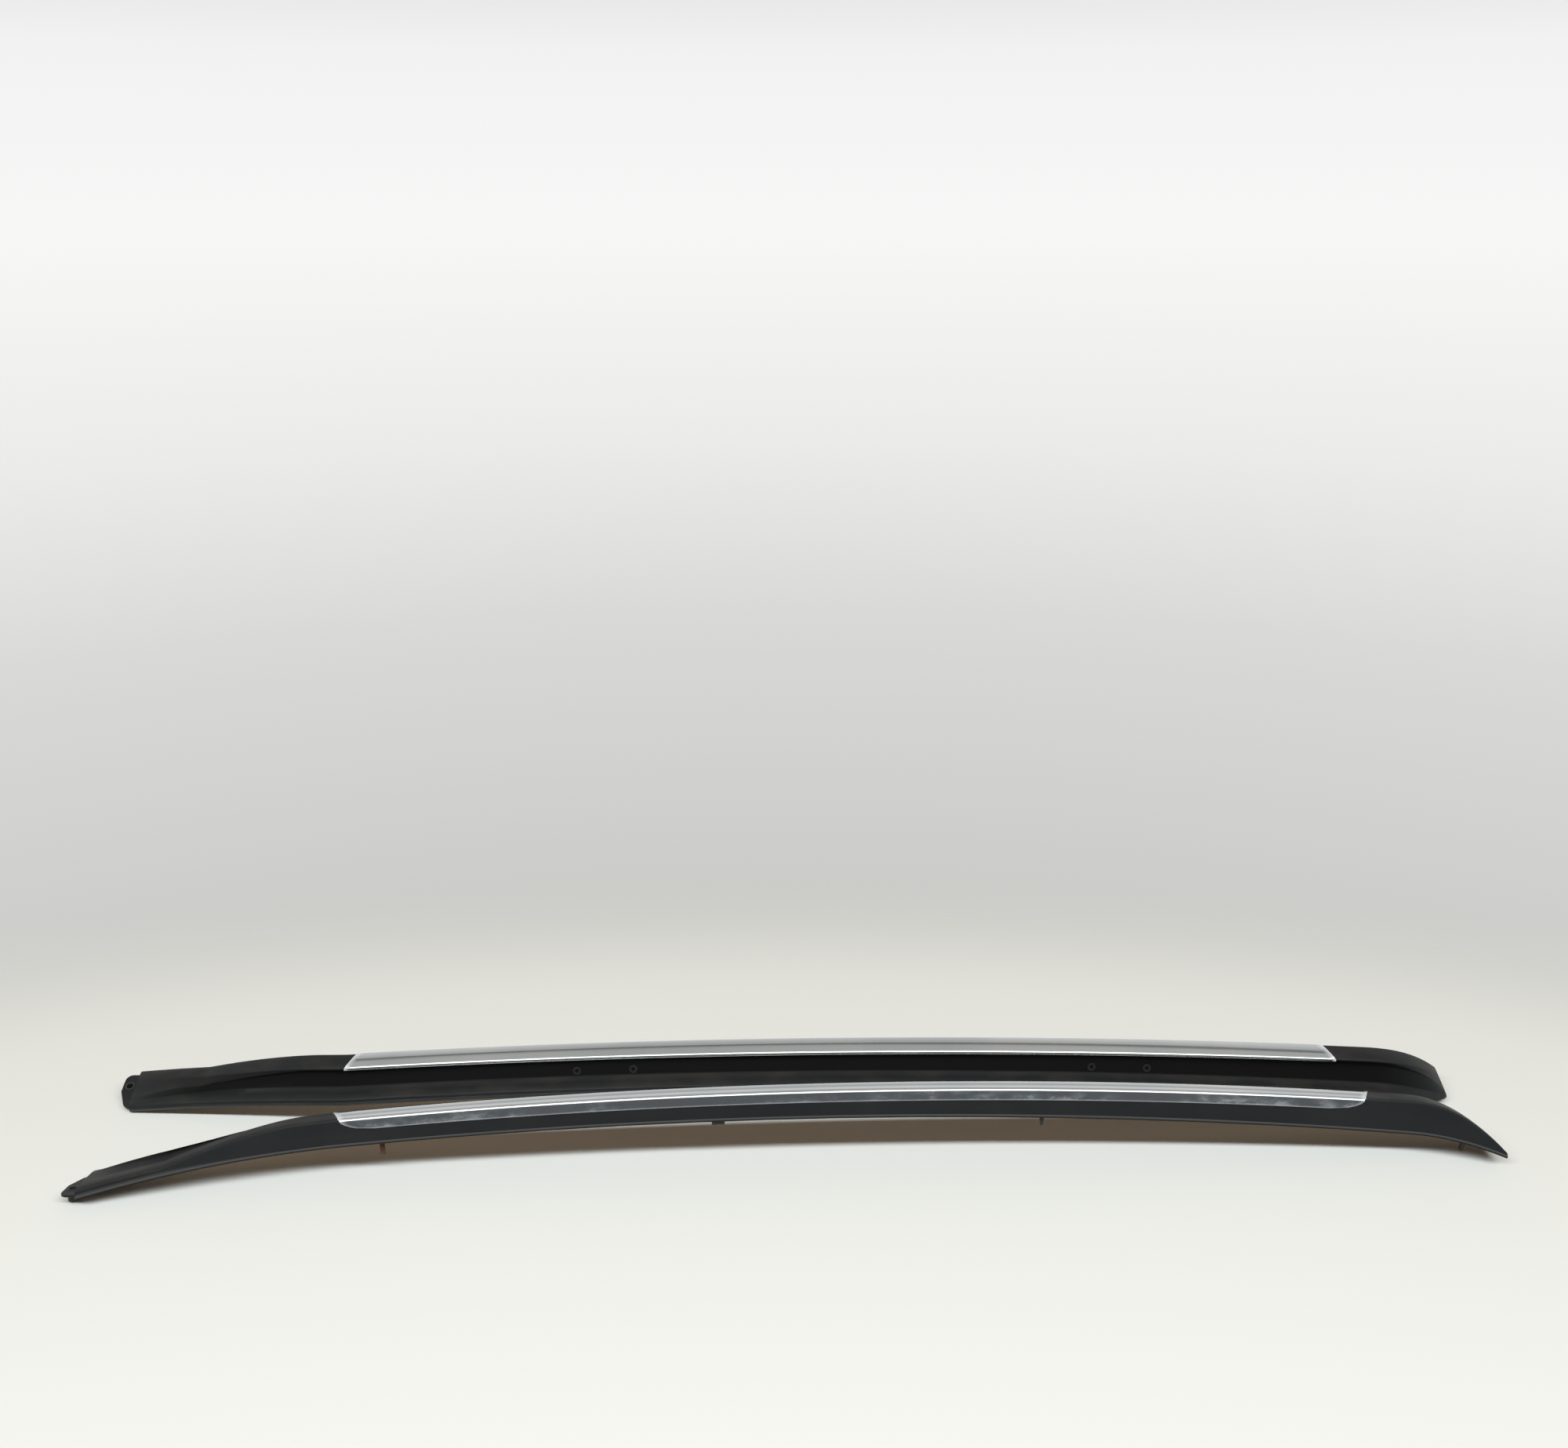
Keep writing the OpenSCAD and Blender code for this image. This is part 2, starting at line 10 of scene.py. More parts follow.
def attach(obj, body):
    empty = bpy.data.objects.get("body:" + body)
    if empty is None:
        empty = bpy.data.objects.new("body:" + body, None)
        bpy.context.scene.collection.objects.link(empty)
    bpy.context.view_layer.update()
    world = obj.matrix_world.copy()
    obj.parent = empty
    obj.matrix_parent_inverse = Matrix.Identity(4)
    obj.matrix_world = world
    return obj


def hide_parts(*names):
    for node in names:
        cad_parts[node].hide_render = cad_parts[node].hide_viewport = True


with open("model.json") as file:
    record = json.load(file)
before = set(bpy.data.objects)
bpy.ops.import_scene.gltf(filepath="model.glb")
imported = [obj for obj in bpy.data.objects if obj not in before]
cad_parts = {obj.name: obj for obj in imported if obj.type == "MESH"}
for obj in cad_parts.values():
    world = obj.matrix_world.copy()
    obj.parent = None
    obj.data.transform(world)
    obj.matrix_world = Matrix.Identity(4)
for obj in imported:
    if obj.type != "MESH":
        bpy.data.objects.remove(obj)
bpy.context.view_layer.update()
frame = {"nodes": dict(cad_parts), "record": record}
SLOT_OF = {s["node"]: s["material_slot"] for s in frame["record"]["subparts"]}

# Sizes of the rail, in millimetres, in the rail's own frame: +X to the tail, +Y to the inner side
FRONT_REACH, TAIL_REACH = 955.0, 821.0
BAR_FRONT, BAR_TAIL = 690.0, 700.0
ROOF_R, ROOF_TOP_X, CREST_R = 7400.0, 40.0, 8200.0
BAR_H, BASE_OUT, BASE_IN, CREST_W = 36.6, 26.0, 33.0, 26.0
FLANGE_H, FLANGE_EDGE_H, CHANNEL_DEPTH, WALL_FOOT_IN = 6.8, 6.0, 7.6, 8.0
LIP_H, LIP_OUT = 2.5, 0.9
FOOT_H, FOOT_SWING, FOOT_DROP = 12.8, 25.0, 17.0
TIP_H, TAIL_SWING, TAIL_DROP, TIP_NARROW = 6.5, 11.0, 17.0, 11.0
SWING_FROM, CREST_OUT, SLAB_POWER = 35.0, 0.62, 5.0
RIDGE_R, RIDGE_LEAN, FACE_BULGE = 3.4, 1.6, 0.7
SHELF_T, SHELF_ROUND = 3.2, 1.1
TRIM_HALF, TRIM_T, TRIM_DROP, TRIM_NOSE, NOSE_SLANT = 655.0, 1.4, 16.0, 45.0, 14.0
FOLD_Y, CROWN_SLOPE, ROLL_W, ROLL_DROP = -17.0, 7.0, 7.0, 1.2
TAB_OUT, TAB_T, TAB_LIFT, TAB_Y_OUT, TAB_Y_IN, TAB_ROUND = 21.0, 3.2, 1.3, -23.0, 30.0, 9.0
BUSH_X, BUSH_Y, TAB_HOLE_R, BUSH_WALL = 11.5, -5.0, 4.2, 2.0
PAD_T = 1.6
TAIL_STUD_X, TAIL_STUD_Y, TAIL_STUD_LEN, BUSH_LEN = 790.0, 13.5, 20.0, 15.0

# The finer strip: steps along it, gap under the sheet and how far its outer skin is drawn in at the ends
STRIP_STEPS, SHEET_GAP, SHEET_PULL = 150, 0.1, 0.35
FRONT_RUN, TAIL_RUN = FRONT_REACH - BAR_FRONT, TAIL_REACH - BAR_TAIL
NOSE_Y = CREST_W - BASE_OUT

# The studs' M6 thread, in metres: pitch, half width of the ridge, and how far it lies in and stands out
THREAD_PITCH, THREAD_HALF, THREAD_ROOT, THREAD_CREST, THREAD_STEPS = 0.001, 0.0004, 0.00005, 0.00012, 28

# Points of the section, counted from its inner end, that lie in the channel; tones of the painted shade in
# the channel and of the lighter lip edge
CHANNEL_FROM, CHANNEL_TO = 18, 11
PAINTED_RECESS_SHADE, LIGHTER_LIP_EDGE = (0.0015, 0.0015, 0.0018), (0.055, 0.058, 0.06)
# Tone of the strip's smudges, and the paler colour of a painted highlight along the strip's rim
SMUDGE_TONE, PAINTED_RIM_HIGHLIGHT = (0.76, 0.8, 0.85), (0.95, 0.97, 1.0)

# Tones by noise: where on the noise each stop lies, and its colour
CLEAN_PLASTIC = [(0.35, (0.007, 0.009, 0.0105)), (0.7, (0.012, 0.014, 0.0155))]
DUSTY_PLASTIC = [(0.42, (0.006, 0.0065, 0.007)), (0.72, (0.019, 0.018, 0.016))]
STRIP_FILM = [(0.35, (0.55, 0.57, 0.58)), (0.65, (0.63, 0.64, 0.64))]
RUST = [(0.35, (0.03, 0.016, 0.01)), (0.52, (0.1, 0.042, 0.018)), (0.72, (0.32, 0.12, 0.035))]

# Finishes that are one tone with a fine grain: colour, roughness, metal
PLAIN_FINISHES = {
    "carrier_aluminium": ((0.6, 0.61, 0.63), 0.35, 1.0),
    "pad_rubber": ((0.012, 0.012, 0.012), 0.8, 0.0),
    "plate_steel": ((0.42, 0.42, 0.43), 0.4, 1.0),
    "screw_steel": ((0.45, 0.45, 0.46), 0.35, 1.0),
    "bush_plastic": ((0.02, 0.02, 0.02), 0.6, 0.0),
    "stud_steel": ((0.12, 0.1, 0.09), 0.5, 0.6),
    "pin_plastic": ((0.012, 0.012, 0.012), 0.5, 0.0),
    "socket_steel": ((0.022, 0.022, 0.024), 0.5, 0.3),
}

# How the two rails lie, as in the part's source
LEFT_LEAN, RIGHT_LEAN, LEFT_TURN, RIGHT_TURN, SPREAD = 14.0, 20.0, 1.9, 0.9, 88.0

# The camera that the photograph was taken with, in metres and degrees
CAMERA_AT = (-0.0066, -1.508, 1.1803)
CAMERA_PITCH = 21.5
IMAGE_W = 2000
FOCAL_PX = 1796

# The floor fades out beyond an oval about the object, and the room shows by how high one looks
FLOOR_COLOUR = (0.83, 0.87, 0.865)
FLOOR_MIDDLE_Y, FLOOR_REACH, FLOOR_FADE = -0.15, (1.35, 0.5), 1.8
ROOM_TONES = (
    (-90, (0.6, 0.6, 0.59)),
    (-33, (0.56, 0.56, 0.54)),
    (-24, (0.63, 0.63, 0.615)),
    (-17, (0.69, 0.69, 0.685)),
    (-10, (0.83, 0.83, 0.825)),
    (-2, (0.93, 0.93, 0.925)),
    (4, (0.88, 0.885, 0.88)),
    (12, (0.54, 0.55, 0.545)),
    (17, (0.54, 0.55, 0.545)),
    (27, (0.9, 0.91, 0.905)),
    (42, (0.85, 0.86, 0.85)),
    (62, (0.58, 0.58, 0.56)),
    (90, (0.56, 0.56, 0.54)),
)
FILL_COLOUR = (0.205, 0.142, 0.092)
LAMP_AT, LAMP_SIZE, LAMP_POWER, LAMP_COLOUR = (0.0, -2.27, 3.53), (7.6, 0.36), 248, (0.98, 1.0, 0.99)
FLOOR_HALF = 8.0

# Cards that show in gloss alone, as the room's unlit side, a beam and a wider, dimmer lamp: tone, half
# length, and the two long edges as (y, z)
GLOSS_CARDS = {
    "room_front": ((0.138, 0.15, 0.158), 5, (-2.6, -2.2), (-2.6, 1.9)),
    "ceiling_beam": ((0.1, 0.1, 0.1), 5, (0.72, 2.3), (0.86, 2.3)),
    "lamp_glow": ((3.6, 3.6, 3.6), LAMP_SIZE[0] / 2, (-2.86, 3.1), (-1.55, 4.0)),
}
SENSOR_W, CLIP_END = 36, 50


def clamp(v):
    return min(1.0, max(0.0, v))


def mix(a, b, t):
    return a + (b - a) * t


def sag(d, r):
    return r - math.sqrt(r * r - d * d)


def front_u(x):
    return clamp((-BAR_FRONT - x) / FRONT_RUN)


def tail_u(x):
    return clamp((x - BAR_TAIL) / TAIL_RUN)


def base_z(x):
    drop = FOOT_DROP * front_u(x) ** 2 + TAIL_DROP * tail_u(x) ** 2
    return sag(ROOF_TOP_X, ROOF_R) - sag(x + ROOF_TOP_X, ROOF_R) - drop


def line_y(x):
    swing = clamp((SWING_FROM - BAR_FRONT - x) / (FRONT_RUN + SWING_FROM))
    return -FOOT_SWING * swing ** 1.15 - TAIL_SWING * tail_u(x) ** 2


def inner_w(x):
    return BASE_IN - TIP_NARROW * tail_u(x) ** 4


def crest(x):
    at = max(-BAR_FRONT, min(BAR_TAIL, x))
    return BAR_H - sag(at, CREST_R) - base_z(at) - TRIM_T


def melt(x):
    return min(1, front_u(x) / CREST_OUT) ** 1.6 if x < 0 else tail_u(x) ** 2.4


def melt_in(x):
    return front_u(x) ** 4.2 if x < 0 else melt(x)


def end_h(x):
    return FOOT_H if x < 0 else TIP_H


def arc(y, z, r, start, end, n):
    turns = [math.radians(mix(start, end, i / n)) for i in range(n + 1)]
    return [(y + r * math.cos(a), z + r * math.sin(a)) for a in turns]


def face_y(depth):
    t = (depth - RIDGE_R - 0.5) / 28
    return -BASE_OUT + RIDGE_LEAN * (1 - t) ** 2 - FACE_BULGE * math.sin(math.pi * t)


def bar_crest(c):
    depths = (TRIM_DROP - TRIM_T + 6, TRIM_DROP - TRIM_T, 8.5)
    out = [(-BASE_OUT, LIP_H + 0.6)] + [(face_y(d), c - d) for d in depths]
    out += arc(-BASE_OUT + RIDGE_LEAN + RIDGE_R, c - RIDGE_R - 0.5, RIDGE_R, 180, 96, 4)
    out += [(mix(-BASE_OUT + 5, NOSE_Y, t), c - 0.3 * abs(t - 0.5)) for t in (0.35, 0.7)]
    return out + arc(NOSE_Y - SHELF_ROUND, c - 0.2 - SHELF_ROUND, SHELF_ROUND, 80, 0, 2)


def wall_ends(c):
    return (NOSE_Y - CHANNEL_DEPTH, c - SHELF_T - 3.4), (NOSE_Y + WALL_FOOT_IN, FLANGE_H + 1)


def bar_channel(c):
    top, foot = wall_ends(c)
    edge_y = BASE_IN - 6.4
    out = [(NOSE_Y, c - SHELF_T), (NOSE_Y - 0.9, c - SHELF_T - 0.8),
           (NOSE_Y - CHANNEL_DEPTH + 1.6, c - SHELF_T - 1.7)]
    out += [(mix(top[0], foot[0], t), mix(top[1], foot[1], t)) for t in (0, 0.33, 0.67, 1)]
    root_y = NOSE_Y + WALL_FOOT_IN + 3
    out += [(root_y, FLANGE_H), (mix(root_y, edge_y, 0.5), mix(FLANGE_H, FLANGE_EDGE_H, 0.4)),
            (edge_y, FLANGE_EDGE_H + 0.3)]
    out += arc(BASE_IN - 6, FLANGE_EDGE_H - 3, 3, 75, 0, 3)
    return out + [(BASE_IN - 2.6, LIP_H + 0.3), (BASE_IN - 0.5, LIP_H - 0.2)]


def slab(i, n, y_in, h):
    a = math.pi * (1 - (i + 1) / (n + 1))
    e = 2 / SLAB_POWER
    across = math.copysign(abs(math.cos(a)) ** e, math.cos(a))
    return ((y_in - BASE_OUT) / 2 + (y_in + BASE_OUT) / 2 * across, LIP_H + (h - LIP_H) * math.sin(a) ** e)


def skin_section(x):
    """The visible outline of the moulding, from the outer lip over the crest to the inner lip."""
    outer, inner = bar_crest(crest(x)), bar_channel(crest(x))
    k, n = len(outer), len(outer) + len(inner)
    out = [(-BASE_OUT - LIP_OUT, 0), (-BASE_OUT - LIP_OUT, LIP_H - 0.7), (-BASE_OUT - 0.1, LIP_H)]
    for i, p in enumerate(outer + inner):
        m = melt(x) if i < k else mix(melt(x), melt_in(x), clamp((i - k) / 7))
        q = slab(i, n, inner_w(x), end_h(x))
        out.append((mix(p[0], q[0], m), mix(p[1], q[1], m)))
    return out + [(inner_w(x), LIP_H - 1), (inner_w(x), 0)]


def stations():
    """Places along the rail: close together in the foot and the tail."""
    foot = np.linspace(-FRONT_REACH, SWING_FROM - BAR_FRONT, 46)
    bar = np.linspace(SWING_FROM - BAR_FRONT, BAR_TAIL, 60)[1:]
    tail = [BAR_TAIL + TAIL_RUN * (1 - (1 - i / 30) ** 1.4) for i in range(1, 31)]
    return [*foot, *bar, *tail]


def lie(side):
    """Rail frame in millimetres to the shared frame in metres."""
    lean, turn = (-LEFT_LEAN, LEFT_TURN) if side == "left" else (RIGHT_LEAN, RIGHT_TURN)
    sign = -1 if side == "left" else 1
    tilt = math.radians(abs(lean))

    def touch(y, z):
        return -(z * math.cos(tilt) - y * math.sin(tilt))

    heights = (
        touch(line_y(-FRONT_REACH) + inner_w(-FRONT_REACH) - 1, base_z(-FRONT_REACH) - PAD_T),
        touch(line_y(TAIL_STUD_X) + TAIL_STUD_Y, base_z(TAIL_STUD_X) - TAIL_STUD_LEN),
        touch(line_y(-FRONT_REACH) + BUSH_Y, base_z(-FRONT_REACH) + TAB_LIFT + TAB_T + 0.4 - BUSH_LEN)
        + (TAB_HOLE_R + BUSH_WALL) * math.sin(tilt))
    shift_x = (FRONT_REACH + TAB_OUT - TAIL_REACH) / 2 - 7 * sign
    shift_y = (FRONT_REACH * math.sin(math.radians(LEFT_TURN)) + FOOT_SWING
               - TAIL_REACH * math.sin(math.radians(RIGHT_TURN)) - TAIL_SWING) / 2 - 2.4
    flip = Matrix.Diagonal((1, 1 if side == "left" else -1, 1, 1))
    move = Matrix.Translation((shift_x, shift_y + sign * SPREAD / 2, max(heights)))
    spin = Matrix.Rotation(math.radians(turn), 4, "Z") @ Matrix.Rotation(math.radians(lean), 4, "X")
    return Matrix.Scale(0.001, 4) @ move @ spin @ flip


def mesh_piece(name, verts, faces, side, material, sharp=40):
    """A mesh from points in the rail frame, laid down with its rail and shaded smooth up to an angle."""
    place = lie(side)
    mesh = bpy.data.meshes.new(name)
    mesh.from_pydata([place @ Vector(v) for v in verts], [], faces)
    if side == "right":
        mesh.flip_normals()
    mesh.validate()
    mesh.materials.append(material)
    obj = bpy.data.objects.new(name, mesh)
    bpy.context.collection.objects.link(obj)
    bpy.context.view_layer.objects.active = obj
    obj.select_set(True)
    bpy.ops.object.shade_smooth_by_angle(angle=math.radians(sharp))
    obj.select_set(False)
    return obj


def principled(name, colour, rough, metal=0.0, specular=0.5):
    mat = bpy.data.materials.new(name)
    mat.use_nodes = True
    shader = mat.node_tree.nodes["Principled BSDF"]
    shader.inputs["Base Color"].default_value = (*colour, 1)
    shader.inputs["Roughness"].default_value = rough
    shader.inputs["Metallic"].default_value = metal
    shader.inputs["Specular IOR Level"].default_value = specular
    return mat, shader


def noise(mat, scale, detail=3.0, stretch=(1, 1, 1)):
    """Noise over the shared frame's coordinates; its output runs from 0 to 1."""
    nodes, links = mat.node_tree.nodes, mat.node_tree.links
    where = nodes.new("ShaderNodeTexCoord")
    space = nodes.new("ShaderNodeMapping")
    space.inputs["Scale"].default_value = stretch
    tex = nodes.new("ShaderNodeTexNoise")
    tex.inputs["Scale"].default_value = scale
    tex.inputs["Detail"].default_value = detail
    links.new(where.outputs["Object"], space.inputs["Vector"])
    links.new(space.outputs["Vector"], tex.inputs["Vector"])
    return tex.outputs["Fac"]


def ramp(mat, value, stops):
    node = mat.node_tree.nodes.new("ShaderNodeValToRGB")
    mat.node_tree.links.new(value, node.inputs["Fac"])
    elements = node.color_ramp.elements
    elements[0].position, elements[0].color = stops[0][0], (*stops[0][1], 1)
    elements[1].position, elements[1].color = stops[-1][0], (*stops[-1][1], 1)
    for place, colour in stops[1:-1]:
        elements.new(place).color = (*colour, 1)
    return node.outputs["Color"]


def grey(v):
    return (v, v, v)


def up_facing(mat, low, high):
    """0 on walls and undersides, 1 on faces that look up."""
    nodes, links = mat.node_tree.nodes, mat.node_tree.links
    shape = nodes.new("ShaderNodeNewGeometry")
    split = nodes.new("ShaderNodeSeparateXYZ")
    span = nodes.new("ShaderNodeMapRange")
    span.inputs["From Min"].default_value = low
    span.inputs["From Max"].default_value = high
    links.new(shape.outputs["Normal"], split.inputs["Vector"])
    links.new(split.outputs["Z"], span.inputs["Value"])
    return span.outputs["Result"]


def attribute(mat, name):
    """A value painted on the mesh's points: 1 where a mark lies, 0 elsewhere and on meshes without it."""
    node = mat.node_tree.nodes.new("ShaderNodeAttribute")
    node.attribute_name = name
    return node.outputs["Fac"]


def blend(mat, factor, a, b):
    """Colour a where the factor is 0 and b where it is 1; each is a colour or a socket."""
    node = mat.node_tree.nodes.new("ShaderNodeMix")
    node.data_type = "RGBA"
    mat.node_tree.links.new(factor, node.inputs["Factor"])
    for socket, value in ((node.inputs[6], a), (node.inputs[7], b)):
        if isinstance(value, tuple):
            socket.default_value = (*value, 1)
        else:
            mat.node_tree.links.new(value, socket)
    return node.outputs[2]


def bump(mat, shader, value, strength, distance):
    node = mat.node_tree.nodes.new("ShaderNodeBump")
    node.inputs["Strength"].default_value = strength
    node.inputs["Distance"].default_value = distance
    mat.node_tree.links.new(value, node.inputs["Height"])
    mat.node_tree.links.new(node.outputs["Normal"], shader.inputs["Normal"])


def body_plastic():
    """Matt black moulding: fine grain, a little dust on what faces up, faint handling marks, a lighter tone
    along the lip's edges and painted shade in the channel.
    """
    mat, shader = principled("body_plastic", (0.012, 0.0135, 0.015), 0.5, specular=0.28)
    links = mat.node_tree.links
    clean = ramp(mat, noise(mat, 9, 6), CLEAN_PLASTIC)
    dusty = ramp(mat, noise(mat, 38, 7, (0.5, 1, 1)), DUSTY_PLASTIC)
    faces = blend(mat, up_facing(mat, 0.55, 0.95), clean, dusty)
    # A lighter tone along the lip's edge rows
    lip_toned = blend(mat, attribute(mat, "edge"), faces, LIGHTER_LIP_EDGE)
    # Painted shade: the channel is coloured near black, and made rougher, where the crest's shadow falls
    links.new(blend(mat, attribute(mat, "recess"), lip_toned, PAINTED_RECESS_SHADE), shader.inputs["Base Color"])
    wear = ramp(mat, noise(mat, 30, 5, (0.4, 1, 1)), [(0.3, grey(0.42)), (0.75, grey(0.6))])
    links.new(blend(mat, attribute(mat, "recess"), wear, grey(0.8)), shader.inputs["Roughness"])
    bump(mat, shader, noise(mat, 1500, 2), 0.2, 0.0003)
    return mat


def bright_trim():
    """Bright strip: near-mirror metal with a thin film, pale smudges on its outer face, and a painted
    highlight along its rim.
    """
    mat, shader = principled("bright_trim", (0.6, 0.61, 0.62), 0.12, metal=1.0)
    links = mat.node_tree.links
    patches = ramp(mat, noise(mat, 5.5, 2, (1, 0.3, 0.3)), [(0.4, grey(0)), (0.52, grey(1))])
    wiped = ramp(mat, noise(mat, 42, 9, (1, 2.2, 2.2)), [(0.4, grey(0)), (0.66, grey(1))])
    smudge = blend(mat, patches, grey(0), wiped)
    marks = blend(mat, up_facing(mat, 0.35, 0.62), smudge, grey(0))
    rough = ramp(mat, marks, [(0.0, grey(0.12)), (1.0, grey(0.38))])
    links.new(blend(mat, attribute(mat, "edge"), rough, grey(0.4)), shader.inputs["Roughness"])
    film = ramp(mat, noise(mat, 6, 4), STRIP_FILM)
    marked = blend(mat, marks, film, SMUDGE_TONE)
    # Painted highlight: a paler colour along the strip's rim and ends
    links.new(blend(mat, attribute(mat, "edge"), marked, PAINTED_RIM_HIGHLIGHT), shader.inputs["Base Color"])
    return mat


def plain(name, colour, rough, metal):
    mat, shader = principled(name, colour, rough, metal)
    bump(mat, shader, noise(mat, 900, 3), 0.15, 0.0003)
    return mat


def rusty_steel():
    """Steel under patchy brown rust with a rough, flaky surface."""
    mat, shader = principled("stud_rusty", (0.2, 0.09, 0.04), 0.75, metal=0.2)
    rust = ramp(mat, noise(mat, 420, 6), RUST)
    mat.node_tree.links.new(rust, shader.inputs["Base Color"])
    bump(mat, shader, noise(mat, 1300, 5), 0.5, 0.0004)
    return mat


def paint_points(obj, name, values):
    obj.data.attributes.new(name, "FLOAT", "POINT").data.foreach_set("value", values)


def rail_skin(side, material):
    """The moulding, lofted through many stations and closed underneath, where the pad covers it."""
    xs = stations()
    rings = [[(x, line_y(x) + y, base_z(x) + z) for y, z in skin_section(x)] for x in xs]
    n = len(rings[0])
    verts = [p for ring in rings for p in ring]
    channel = range(n - CHANNEL_FROM, n - CHANNEL_TO)
    # Painted shade on the channel's points, fading out towards the ends
    recess = [(1 - melt_in(x)) ** 2 if i in channel else 0.0 for x in xs for i in range(n)]
    # The lip's edge rows, marked for a lighter tone
    edge = [1.0 if i in (1, 2, n - 2) else 0.0 for _ in xs for i in range(n)]
    faces = [(k * n + i, k * n + (i + 1) % n, (k + 1) * n + (i + 1) % n, (k + 1) * n + i)
             for k in range(len(xs) - 1) for i in range(n)]
    faces += [tuple(range(n - 1, -1, -1)), tuple(range((len(xs) - 1) * n, len(xs) * n))]
    faces = [f[::-1] for f in faces]
    skin = mesh_piece(f"{side}_moulded_skin", verts, faces, side, material, sharp=32)
    paint_points(skin, "recess", recess)
    paint_points(skin, "edge", edge)
    return skin


def tab_outline():
    x, far = -FRONT_REACH, -FRONT_REACH - TAB_OUT
    corner = [(far + TAB_ROUND * (1 - math.sin(a)), TAB_Y_OUT + TAB_ROUND * (1 - math.cos(a)))
              for a in [math.radians(d) for d in range(90, -1, -15)]]
    inner = [(x + 4, TAB_Y_IN), (x - 4, TAB_Y_IN), (x - 11, TAB_Y_IN - 5), (far, 3)]
    return [*inner, *corner, (x + 4, TAB_Y_OUT)]


def outline_reach(loop, cx, cy, angle):
    """How far the outline lies from a point in one direction."""
    ray = Vector((math.cos(angle), math.sin(angle), 0))
    best = 1e9
    for a, b in zip(loop, loop[1:] + loop[:1]):
        e = b - a
        den = ray.x * e.y - ray.y * e.x
        if abs(den) < 1e-9:
            continue
        s = ((a.x - cx) * e.y - (a.y - cy) * e.x) / den
        t = ((a.x - cx) * ray.y - (a.y - cy) * ray.x) / den
        if s > 0 and -1e-6 <= t <= 1 + 1e-6:
            best = min(best, s)
    return best


def front_tab(side, material):
    """The tab with its hole: an outline and a round hole bridged by a fan of quads on both faces."""
    cx, cy = -FRONT_REACH - BUSH_X, BUSH_Y
    r, steps = TAB_HOLE_R + BUSH_WALL + 0.1, 96
    floor_z = base_z(-FRONT_REACH) + TAB_LIFT
    shift = line_y(-FRONT_REACH)
    loop = [Vector((*p, 0)) for p in tab_outline()]
    verts, faces = [], []
    for i in range(steps):
        a = 2 * math.pi * i / steps
        far = outline_reach(loop, cx, cy, a)
        for z in (0, TAB_T):
            for d, inset in ((r, 0), (far - 0.5, 0), (far, 0.5)):
                up = z - inset if z else z + inset
                verts.append((cx + d * math.cos(a), cy + shift + d * math.sin(a), floor_z + up))
    for i in range(steps):
        p, q = 6 * i, 6 * ((i + 1) % steps)
        ring = [(0, 1), (1, 2), (2, 5), (5, 4), (4, 3), (3, 0)]
        faces += [(p + u, q + u, q + v, p + v) for u, v in ring]
    return mesh_piece(f"{side}_front_tab", verts, faces, side, material, sharp=35)


def strip_chain():
    low = BAR_H - TRIM_DROP
    chain = [p for p in bar_crest(BAR_H - TRIM_T) if p[1] > low - 0.1]
    return smooth_chain(chain, 3)


def pressed(y, z):
    """How far the strip's surface is pressed down: a slope outside the fold and a rolled inner edge."""
    near_top = clamp((z - BAR_H + 10) / 7)
    slope = math.tan(math.radians(CROWN_SLOPE)) * max(0, FOLD_Y - y) * near_top
    roll = max(0, y - NOSE_Y + ROLL_W) ** 2 / ROLL_W ** 2
    return slope + ROLL_DROP * roll


def smooth_chain(chain, parts):
    """More points along a chain, on a Catmull-Rom curve through the given ones."""
    pts = [Vector(p) for p in chain]
    ext = [2 * pts[0] - pts[1], *pts, 2 * pts[-1] - pts[-2]]
    out = []
    for i in range(1, len(ext) - 2):
        p0, p1, p2, p3 = ext[i - 1:i + 3]
        for j in range(parts):
            t = j / parts
            out.append(0.5 * ((2 * p1) + (p2 - p0) * t + (2 * p0 - 5 * p1 + 4 * p2 - p3) * t * t
                              + (3 * p1 - p0 - 3 * p2 + p3) * t ** 3))
    return [*out, pts[-1]]


def strip_end(y, z):
    """How far from the middle the strip reaches at a point of its section."""
    ridge_x = TRIM_HALF - NOSE_SLANT
    if y > -BASE_OUT + RIDGE_LEAN + 1:
        return ridge_x + NOSE_SLANT * clamp((y + BASE_OUT) / CREST_W)
    depth = clamp((BAR_H - 1.5 - z) / (TRIM_DROP - 1.5))
    return ridge_x - TRIM_NOSE * (1 - math.sqrt(max(0, 1 - depth ** 2)))


def strip_skins(inner):
    """The sheet's inner and outer outline, each lifted off the crest along its normals."""
    normals = []
    for i in range(len(inner)):
        d = inner[min(len(inner) - 1, i + 1)] - inner[max(0, i - 1)]
        normals.append(Vector((-d.y, d.x)).normalized())
    return [[p + n * lift for p, n in zip(inner, normals)] for lift in (SHEET_GAP, TRIM_T)]


def strip_points(inner):
    verts = []
    for lift, skin in enumerate(strip_skins(inner)):
        for k in range(STRIP_STEPS + 1):
            for p, q in zip(skin, inner):
                x = mix(-1, 1, k / STRIP_STEPS) * (strip_end(q.x, q.y) - SHEET_PULL * lift)
                verts.append((x, p.x, p.y - sag(x, CREST_R) - lift * pressed(p.x, p.y)))
    return verts


def strip_faces(count):
    """Both skins, the rims along the sheet and those at its ends."""
    size = (STRIP_STEPS + 1) * count
    faces = []
    for k in range(STRIP_STEPS):
        for a in range(k * count, k * count + count - 1):
            b = size + a
            faces += [(a, a + count, a + count + 1, a + 1), (b, b + 1, b + count + 1, b + count)]
        for i in (0, count - 1):
            a = k * count + i
            quad = (a, size + a, size + a + count, a + count)
            faces.append(quad if i == 0 else quad[::-1])
    for a in range(count - 1):
        b = STRIP_STEPS * count + a
        faces += [(a, a + 1, size + a + 1, size + a), (b, size + b, size + b + 1, b + 1)]
    return [f[::-1] for f in faces]


